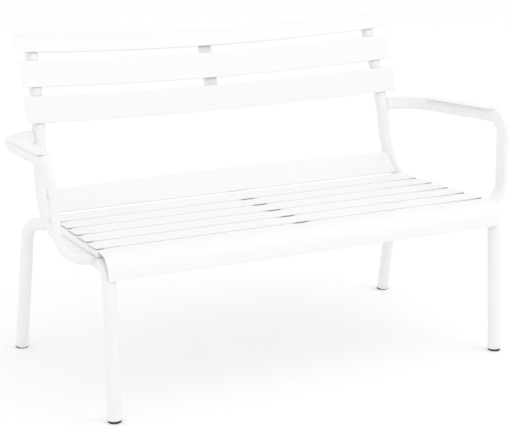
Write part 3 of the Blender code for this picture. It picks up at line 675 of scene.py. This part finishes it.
@dataclass
class TubeFrame:
    """Side tubes, rear legs, their weld beads and the caps of the uprights."""

    layout: Layout
    size: FrameSize = field(default_factory=FrameSize)

    def build(self) -> None:
        """Make both sides."""
        for side in Side:
            self.side_tube(side)
            self.rear_leg(side)
            self.cap(side)

    def side_tube(self, side: Side) -> None:
        """One bent tube from the front foot to the top of the upright."""
        path = self.layout.placed(self.layout.side_path(), side)
        data = swept(path, circle(self.size.tube_radius), carried_frames(path, [1, 0, 0]), END_EDGE)
        name = f"side_tube_{side.label}"
        dress(make_object(f"look_{name}", *data), COAT, "frame_coat", name)

    def rear_leg(self, side: Side) -> None:
        """One rear leg, whose end lies inside the side tube, with a weld bead where they meet."""
        path = self.layout.placed(self.layout.rear_path(), side)
        data = swept(path, circle(self.size.tube_radius - 0.0002), carried_frames(path, [1, 0, 0]), END_EDGE)
        name = f"rear_leg_{side.label}"
        dress(make_object(f"look_{name}", *data), COAT, "frame_coat", name)
        host = self.layout.placed(self.layout.side_path(), side)
        last = path[-1] - path[-2]
        beyond = path[-1] + last / np.linalg.norm(last) * BEAD_SEARCH
        line = finely(np.concatenate([path[-BEAD_TAIL:], [beyond]]))
        outline = circle(self.size.tube_radius, 72)
        bead = weld_bead(line, carried_frames(line, [1, 0, 0]), outline, host, LEG_BEAD)
        if bead is not None:
            dress(make_object(f"weld_rear_{side.label}", *bead), WELD, "frame_coat")

    def cap(self, side: Side) -> None:
        """A shallow domed cap on the upright: a short rim, then a low cone up to a point on the axis."""
        path = self.layout.placed(self.layout.side_path(), side)
        way = Vector(path[-1] - path[-2]).normalized()
        r = self.size.tube_radius
        rim = [[r - 0.0006, 0.0], [r, 0.0006], [r, 0.0024], [r - 0.0008, 0.0034]]
        profile = np.array([[0, 0.0], *rim, [0, 0.0042]])
        name = f"upright_cap_{side.label}"
        data = turned(profile, path[-1] + np.array(way) * 0.0009, np.array(way))
        dress(make_object(f"look_{name}", *data), CAP, "cap_plastic", name)


def turned(profile: Array, place: Array, axis: Array, count: int = 64) -> tuple[Array, Array, Array]:
    """Turn an (r, h) profile round an axis: point = place + h axis + r (cos t e1 + sin t e2).

    The profile starts and ends on the axis, so both poles are closed by triangles.
    """
    e1 = np.cross(axis, [0.3, 1.0, 0.2])
    e1 /= np.linalg.norm(e1)
    e2 = np.cross(axis, e1)
    t = np.arange(count) * 2 * pi / count
    rings = profile[1:-1]
    ring = np.cos(t)[:, None] * e1 + np.sin(t)[:, None] * e2
    body = place + rings[:, None, 1:] * axis + rings[:, None, :1] * ring[None]
    n = len(rings)
    poles = [place + profile[end, 1] * axis for end in (0, -1)]
    points = np.concatenate([body.reshape(-1, 3), poles])
    faces = np.concatenate([strips(n, count), fans(n, count)])
    uv = np.stack([points @ e1, points @ e2], 1)
    return points, outward(points, faces), uv


def distance_to(path: Array, points: Array) -> tuple[Array, Array]:
    """Distance of points from a polyline, and the nearest place on it.

    For a segment a..b the share is clip((p - a) . (b - a) / |b - a|^2, 0, 1).
    """
    a, b = path[:-1], path[1:]
    run = b - a
    share = np.einsum("psk,sk->ps", points[:, None] - a[None], run) / (run**2).sum(1)
    near = a[None] + np.clip(share, 0, 1)[..., None] * run[None]
    gap = np.linalg.norm(points[:, None] - near, axis=2)
    best = gap.argmin(1)
    rows = np.arange(len(points))
    return gap[rows, best], near[rows, best]


def finely(values: Array, count: int = 400) -> Array:
    """The rows of an array, interpolated at even shares of its length."""
    fine = np.linspace(0, len(values) - 1, count)
    return np.stack([np.interp(fine, np.arange(len(values)), values[:, k]) for k in range(3)], 1)


def weld_bead(line: Array, frames: tuple[Array, Array], outline: Array, host: Array, radius: float):
    """A closed weld bead where the skin of a tube or arm enters a side tube.

    Each line of the skin is searched along the path for the place where its distance from the host's centre
    line first falls below the tube's radius.

    Args:
        line: (n, 3) centre line of the piece, towards and past its end in the host.
        frames: (n, 3) across and up directions along it.
        outline: (m, 2) section of the piece.
        host: centre line of the side tube.
        radius: radius of the bead.

    Returns:
        Points, faces and coordinates, or None, with a warning in the log, if a line never meets the tube.
    """
    across, up = frames
    skin = line[:, None] + outline[None, :, :1] * across[:, None] + outline[None, :, 1:] * up[:, None]
    gap, _ = distance_to(host, skin.reshape(-1, 3))
    inside = gap.reshape(skin.shape[:2]) < TUBES.tube_radius
    if not inside.any(0).all():
        LOG.warning("no weld bead is made: only %d of %d skin lines meet", inside.any(0).sum(), len(outline))
        return None
    first = inside.argmax(0)
    return ring_bead(skin[first, np.arange(len(outline))], line[int(first.mean())], radius)


# ---------------------------------------------------------------- arms


@dataclass
class Arms:
    """Looped flat-oval arms with their pads and weld beads."""

    layout: Layout
    size: ArmSize = field(default_factory=ArmSize)

    def build(self) -> None:
        """Make both arms."""
        for side in Side:
            self.arm(side)
            self.pad(side)

    def arm(self, side: Side) -> None:
        """One arm, in the same section directions as the CAD curve gives it."""
        corners = self.layout.arm_corners()
        path = self.layout.placed(fillet(corners, self.size.bends), side)
        section = rounded_box(self.size.wide, self.size.thick, self.size.corner)
        frames = self.section_frames(path, side)
        name = f"arm_tube_{side.label}"
        piece = make_object(f"look_{name}", *swept(path, section, frames, END_EDGE))
        dress(piece, COAT, "frame_coat", name)
        host = self.layout.placed(self.layout.side_path(), side)
        tail = slice(-BEAD_TAIL, None)
        for which, turn in (("rear", 1), ("front", -1)):
            line, across, up = (finely(values[::turn][tail]) for values in (path, *frames))
            bead = weld_bead(line, (across, up), section, host, ARM_BEAD)
            if bead is not None:
                dress(make_object(f"weld_arm_{which}_{side.label}", *bead), WELD, "frame_coat")

    def section_frames(self, path: Array, side: Side) -> tuple[Array, Array]:
        """Across and up directions of the section, matched to the CAD arm.

        The wide side of the section starts in the plane of the post and is carried on with no twist. Its
        angle is turned until the swept skin lies closest to the CAD arm's own points.
        """
        cad = node_points(f"arm_tube_{side.label}")
        across, up = carried_frames(path, [0, 1, 0])
        _, near = distance_to(path, cad)
        rows = np.argmin(((near[:, None] - path[None, ::3]) ** 2).sum(2), 1) * 3
        rel = cad - near
        u = np.einsum("ij,ij->i", rel, across[rows])
        v = np.einsum("ij,ij->i", rel, up[rows])
        angle = 0.5 * atan2(2 * (u * v).sum(), (u * u).sum() - (v * v).sum())
        LOG.info("arm %s: section turned by %.1f degrees", side.label, angle * 180 / pi)
        return cos(angle) * across + sin(angle) * up, -sin(angle) * across + cos(angle) * up

    def pad(self, side: Side) -> None:
        """A thin plate with rounded corners and a soft edge, lying along the armrest."""
        s = self.size
        _, _, elbow, heel, _ = self.layout.arm_corners()
        sign = np.array([side.value, 1, 1])
        start = np.array(elbow) * sign + [0, self.layout.shift_y, 0]
        run = np.array(heel) * sign + [0, self.layout.shift_y, 0] - start
        way = run / np.linalg.norm(run)
        out = np.cross(way, [0, 0, 1])
        out /= np.linalg.norm(out)
        up = np.cross(out, way)
        middle = start + way * (s.pad_setback + s.pad_length / 2)
        middle = middle + up * (s.wide / 2 + s.pad_clearance + s.pad_thickness / 2)
        outline = rounded_box(s.pad_length, s.pad_width, s.pad_corner, 14)
        edge = 0.0011
        t = np.linspace(0, pi / 2, 6)
        half = s.pad_thickness / 2
        levels = np.r_[-half - s.pad_clearance + edge * (1 - np.sin(t[::-1])), half - edge * (1 - np.sin(t))]
        inset = np.r_[edge * (1 - np.cos(t[::-1])), edge * (1 - np.cos(t))]
        scale = np.stack([1 - 2 * inset / s.pad_length, 1 - 2 * inset / s.pad_width], 1)
        rings = outline[None] * scale[:, None]
        body = middle + rings[..., :1] * way + rings[..., 1:] * out + levels[:, None, None] * up
        data = closed_rings(body)
        name = f"arm_pad_{side.label}"
        dress(make_object(f"look_{name}", *data), COAT, "slat_coat", name)


def closed_rings(body: Array) -> tuple[Array, Array, Array]:
    """Join rings of points into a closed surface with a centre point on each end."""
    n, m = body.shape[:2]
    points = np.concatenate([body.reshape(-1, 3), [body[0].mean(0), body[-1].mean(0)]])
    faces = np.concatenate([strips(n, m), fans(n, m)])
    return points, outward(points, faces), points[:, :2].copy()


def ladder_rings(body: Array) -> tuple[Array, Array]:
    """Join rings of a thin band into a closed surface whose end faces run between opposite points.

    Point j of a ring lies opposite point m - 1 - j, so the end of a curved band stays inside its skin.
    """
    n, m = body.shape[:2]
    a = np.arange(m // 2 - 1)
    low = np.stack([a + 1, a, m - 1 - a, m - 2 - a], -1)
    high = low[:, ::-1] + (n - 1) * m
    points = body.reshape(-1, 3)
    faces = np.concatenate([strips(n, m), low, high])
    return points, outward(points, faces)


def ring_bead(loop: Array, centre: Array, radius: float) -> tuple[Array, Array, Array]:
    """A closed bead of round section carried round a loop: p = loop + r (cos t out + sin t side)."""
    for _ in range(2):
        loop = (np.roll(loop, 1, 0) + 2 * loop + np.roll(loop, -1, 0)) / 4
    ahead = np.roll(loop, -1, 0) - np.roll(loop, 1, 0)
    ahead /= np.maximum(np.linalg.norm(ahead, axis=1, keepdims=True), 1e-9)
    out = loop - centre
    out -= ahead * np.einsum("ij,ij->i", out, ahead)[:, None]
    out /= np.linalg.norm(out, axis=1, keepdims=True)
    side = np.cross(ahead, out)
    ring = circle(radius, 14)
    points = loop[:, None] + ring[None, :, :1] * out[:, None] + ring[None, :, 1:] * side[:, None]
    n, m = points.shape[:2]
    faces = strips(n, m, joined=True)
    flat = points.reshape(-1, 3)
    run = np.r_[0, np.cumsum(np.linalg.norm(np.diff(loop, axis=0), axis=1))]
    uv = np.stack(np.broadcast_arrays(np.arange(m)[None] / m, run[:, None]), -1).reshape(-1, 2)
    return flat, outward(flat, faces), uv


# ---------------------------------------------------------------- slats


@dataclass
class Slat:
    """A slat whose side-view section is carried along X, bowed at mid length.

    Attributes:
        name: CAD node that it stands for.
        face: (k, 2) outer line of the section, in (y, z).
        half_length: half the length.
        bow: (y, z) shift at mid length.
        bow_share: shift also grows from 0 to 1 along the section.
        thick: thickness of the skin, measured against the outer line.
        corner: radius of the outline corners.
        edge: radius of the long edges.
    """

    name: str
    face: Array
    half_length: float
    bow: tuple[float, float] = (0.0, 0.0)
    bow_share: bool = False
    thick: float = 0.0032
    corner: float = 0.006
    edge: float = 0.0009

    def section(self, steps: int = 40) -> tuple[Array, Array, Array]:
        """Even points on the outer line, their inward normals and their shares."""
        run = np.r_[0, np.cumsum(np.linalg.norm(np.diff(self.face, axis=0), axis=1))]
        share = np.linspace(0, 1, steps)
        line = np.stack([np.interp(share * run[-1], run, self.face[:, k]) for k in range(2)], 1)
        way = np.gradient(line, axis=0)
        way /= np.linalg.norm(way, axis=1, keepdims=True)
        return line, np.stack([way[:, 1], -way[:, 0]], 1), share

    def build(self, shift_y: float):
        """Make the slat with rounded outline corners and soft long edges.

        At distance d from an end the section shrinks by c - sqrt(c^2 - (c - d)^2) at both edges, which
        rounds the four outline corners to radius c. The bow is bow * (1 - (x / half)^2).
        """
        line, normal, share = self.section()
        length = np.linalg.norm(np.diff(line, axis=0), axis=1).sum()
        c, e = self.corner, self.edge
        near = self.half_length - c * (1 - np.sin(np.linspace(0, pi / 2, 9)))
        x = np.r_[-near[::-1], np.linspace(-near[0], near[0], 120)[1:-1], near]
        left = np.clip(self.half_length - abs(x), 0, c)
        trim = c - np.sqrt(c**2 - (c - left) ** 2)
        b = np.linspace(0, pi / 2, 5)
        half_run = np.r_[e - e * np.cos(b), (share * (length - 2 * e) + e)[1:-1], length - e + e * np.sin(b)]
        half_deep = np.r_[e - e * np.sin(b), np.zeros(len(share) - 2), e - e * np.cos(b)]
        outline_run = np.r_[half_run, half_run[::-1]]
        outline_deep = np.r_[half_deep, self.thick - half_deep[::-1]]
        squeeze = 1 - 2 * trim / length
        run = length / 2 + (outline_run[None] - length / 2) * squeeze[:, None]
        where = np.clip(run / length, 0, 1)
        y, z, ny, nz = (np.interp(where, share, v) for v in (*line.T, *normal.T))
        amount = 1 - (x / self.half_length) ** 2
        amount = amount[:, None] * (where if self.bow_share else 1.0)
        y = y + ny * outline_deep[None] + self.bow[0] * amount + shift_y
        z = z + nz * outline_deep[None] + self.bow[1] * amount
        body = np.stack([np.broadcast_to(x[:, None], y.shape), y, z], -1)
        points, faces = ladder_rings(body)
        uv = np.stack([points[:, 0], points[:, 2]], 1)
        item = make_object(f"look_{self.name}", points, faces, uv)
        return dress(item, SLAT_COAT, "slat_coat", self.name)


@dataclass
class Seat:
    """Front slat, seat slats, bearers, strap and the lumbar slat."""

    layout: Layout
    size: SlatSize = field(default_factory=SlatSize)

    def underside(self, y: float) -> float:
        """Height of the flat slats' underside: rail + r + gap + bearer + gap."""
        return self.layout.rail_z(y) + TUBES.tube_radius + 2 * TUBES.gap + self.size.bearer_thick

    def build(self) -> None:
        """Make the slats; the bearers and strap keep their CAD mesh."""
        s, lay = self.size, self.layout
        run = TUBES.seat_depth - s.seat_end - s.first_gap_y + s.seat_gap / 2
        width = run / s.seat_count - s.seat_gap
        for number in range(s.seat_count):
            y = s.first_gap_y + s.seat_gap / 2 + number * (width + s.seat_gap)
            slope = atan2(-TUBES.rail_fall, 1.0) + (s.last_tilt if number == s.seat_count - 1 else 0.0)
            top = self.underside(y) + s.skin * cos(slope)
            start = (y - s.skin * sin(slope), top)
            end = (start[0] + width * cos(slope), top + width * sin(slope))
            half = TUBES.half_span + s.seat_overhang - s.seat_taper * (y + width / 2)
            Slat(f"seat_slat_{number + 1}", np.array([start, end]), half).build(lay.shift_y)
        self.front()
        self.lumbar()

    def front(self) -> None:
        """The slat that rolls over the front: a short skirt, a quarter circle and a flat back edge."""
        s = self.size
        back_y = s.first_gap_y - s.seat_gap / 2
        r = s.front_radius
        centre = (s.front_face_y + r, self.underside(back_y) + s.skin - r)
        t = np.linspace(pi, pi / 2, 40)
        arc = np.stack([centre[0] + r * np.cos(t), centre[1] + r * np.sin(t)], 1)
        line = np.concatenate([[[s.front_face_y, centre[1] - s.front_skirt]], arc, [[back_y, centre[1] + r]]])
        Slat("front_slat", line, TUBES.half_span + s.front_overhang).build(self.layout.shift_y)

    def lumbar(self) -> None:
        """The concave slat in the bend, on the inner side of the tubes."""
        s = self.size
        centre = self.layout.bend_centre()
        radius = TUBES.seat_bend - TUBES.tube_radius - TUBES.gap - s.skin
        t = np.linspace(*s.lumbar, 40)
        line = np.stack([centre[0] + radius * np.sin(t), centre[1] - radius * np.cos(t)], 1)
        half = TUBES.half_span - TUBES.knee_toe_in
        Slat("lumbar_slat", line, half, (s.lumbar_bow, 0.0), True).build(self.layout.shift_y)


@dataclass
class Back:
    """The three bowed back slats, with their ribs."""

    layout: Layout
    size: SlatSize = field(default_factory=SlatSize)

    def forward(self, length: float, shift: tuple[float, float]) -> float:
        """Distance from the upright's centre to a slat's face, as the CAD places it."""
        lean = self.layout.lean_at(length)
        normal = shift[0] * cos(lean) - shift[1] * sin(lean)
        depth = 1 - (self.layout.upright_x(length) / (TUBES.half_span + self.size.back_overhang)) ** 2
        return TUBES.tube_radius + 2 * TUBES.gap + self.size.skin + normal * depth

    def build(self) -> None:
        """Make the slats and the ribs behind them."""
        s, lay = self.size, self.layout
        for number, name in enumerate(("back_slat_lower", "back_slat_middle", "back_slat_top")):
            start = s.back_start + number * (s.back_height + s.back_gap)
            shift = s.bows[number]
            top = number == 2
            lean = lay.lean_at(start if top else start + s.back_height / 2)
            forward = self.forward(start + s.back_height / 2, shift)
            if top:
                low = np.array(lay.upright(start, forward + s.roll_clearance))
                centre = low + np.array([cos(lean), -sin(lean)]) * s.roll_radius
                a = lean + np.linspace(0, s.roll, 40)
                line = centre + s.roll_radius * np.stack([-np.cos(a), np.sin(a)], 1)
            else:
                middle = np.array(lay.upright(start + s.back_height / 2, forward))
                rise = np.array([sin(lean), cos(lean)]) * s.back_height / 2
                line = np.array([middle - rise, middle + rise])
            half = TUBES.half_span + s.back_overhang
            Slat(name, line, half, shift).build(lay.shift_y)
            self.ribs(name, line, lean, top, shift, half)

    def ribs(self, name: str, line: Array, lean: float, top: bool, shift, half: float) -> None:
        """Two thin ribs on the back of a slat, which stop between the uprights."""
        s = self.size
        reach = TUBES.half_span - TUBES.top_toe_in - TUBES.tube_radius - s.rib_setback
        x = np.linspace(-reach, reach, 100)
        for index, along in enumerate((0, -1)):
            angle = lean + (s.roll if top and along else 0.0)
            normal = np.array([cos(angle), -sin(angle)])
            mate = line[1] if along == 0 else line[-2]
            step = (mate - line[along]) / np.linalg.norm(mate - line[along])
            amount = (1 - (x / half) ** 2)[:, None]
            foot = line[along] + np.array(shift) * amount
            over = np.array([0.0006, 0.0036, 0.0036, 0.0031, 0.0011, 0.0006])[:, None]
            deep = np.array([0.0016, 0.0016, 0.0090, s.back_depth, s.back_depth, 0.0090])[:, None]
            ring = foot[:, None] + step * over + normal * deep
            body = np.concatenate([np.broadcast_to(x[:, None, None], (*ring.shape[:2], 1)), ring], -1)
            body = body + [0, self.layout.shift_y, 0]
            data = closed_rings(body)
            dress(make_object(f"look_{name}_rib_{index + 1}", *data), SLAT_COAT, "slat_coat")


# ---------------------------------------------------------------- feet


@dataclass
class Feet:
    """The four dark glides, each a turned disc with a soft rim."""

    radius: float = GLIDE_RADIUS
    height: float = TUBES.glide_height

    def build(self) -> None:
        """Make each glide at the middle of its CAD node's flat underside."""
        r, h = self.radius, self.height
        rim = [[r - 0.0016, 0], [r - 0.0005, 0.0004], [r, 0.0014], [r, h - 0.0012], [r - 0.0010, h]]
        profile = np.array([[0, 0], *rim, [0, h]])
        for which in ("front", "rear"):
            for side in Side:
                name = f"foot_glide_{which}_{side.label}"
                points = node_points(name)
                ring = points[points[:, 2] < points[:, 2].min() + 1e-4]
                data = turned(profile, (ring.min(0) + ring.max(0)) / 2, np.array([0.0, 0.0, 1.0]))
                dress(make_object(f"look_{name}", *data), GLIDE, "glide_plastic", name)


# ---------------------------------------------------------------- studio


def plain_material(name: str, colour: tuple[float, float, float], roughness: float):
    """A plain studio surface."""
    material = bpy.data.materials.new(name)
    material.use_nodes = True
    shader = material.node_tree.nodes["Principled BSDF"]
    shader.inputs["Base Color"].default_value = (*colour, 1)
    shader.inputs["Roughness"].default_value = roughness
    return material


def build_studio(shift_y: float) -> None:
    """A pale floor, soft light from above and behind the camera, and the camera."""
    mesh = bpy.data.meshes.new("floor")
    mesh.from_pydata([(-30, -30, 0), (30, -30, 0), (30, 30, 0), (-30, 30, 0)], [], [(0, 1, 2, 3)])
    floor = bpy.data.objects.new("floor", mesh)
    bpy.context.scene.collection.objects.link(floor)
    floor.data.materials.append(plain_material("studio_floor", (0.96, 0.96, 0.96), 0.9))
    floor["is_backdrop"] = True
    for name, place, aim, size, power in (
        ("key", (2.6, -2.2, 4.2), (0, 0, 0.3), 3.2, 26.0),
        ("fill", (-3.2, -3.0, 2.6), (0, 0, 0.4), 3.5, 6.0),
    ):
        data = bpy.data.lights.new(name, "AREA")
        data.size = size
        data.energy = power
        lamp = bpy.data.objects.new(name, data)
        bpy.context.scene.collection.objects.link(lamp)
        lamp.location = place
        lamp.rotation_euler = (Vector(aim) - Vector(place)).to_track_quat("-Z", "Y").to_euler()
    world = bpy.data.worlds.new("studio")
    bpy.context.scene.world = world
    world.use_nodes = True
    world.node_tree.nodes["Background"].inputs["Color"].default_value = (1, 1, 1, 1)
    world.node_tree.nodes["Background"].inputs["Strength"].default_value = 1.03
    bpy.context.scene.view_settings.view_transform = "Standard"
    data = bpy.data.cameras.new("camera")
    data.lens = 103.85
    data.sensor_width = 36.0
    camera = bpy.data.objects.new("camera", data)
    bpy.context.scene.collection.objects.link(camera)
    camera.location = (-1.7479, -3.0536 + shift_y, 1.3574)
    camera.rotation_euler = (radians(90 - 14.96), 0, radians(-27.28))
    bpy.context.scene.camera = camera


# ---------------------------------------------------------------- main


def write_sizes() -> None:
    """Write the bounds of the CAD frame and of the finished looks."""
    low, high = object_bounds()
    corners = (CAD_LOW, CAD_HIGH, low, high)
    LOG.info("CAD %s %s, visual %s %s", *(tuple(round(v, 4) for v in corner) for corner in corners))


def main() -> None:
    """Build every part of the bench, dress the CAD nodes that stay, and set the studio."""
    layout = Layout(TUBES)
    for name in ("seat_bearer_left", "seat_bearer_right", "seat_strap", "back_strap"):
        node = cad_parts[name]
        node.data.materials.clear()
        node.data.materials.append(COAT)
    for part in (TubeFrame(layout), Arms(layout), Seat(layout), Back(layout), Feet()):
        part.build()
        LOG.info("built %s", type(part).__name__)
    build_studio(layout.shift_y)
    write_sizes()


if __name__ == "__main__":
    main()
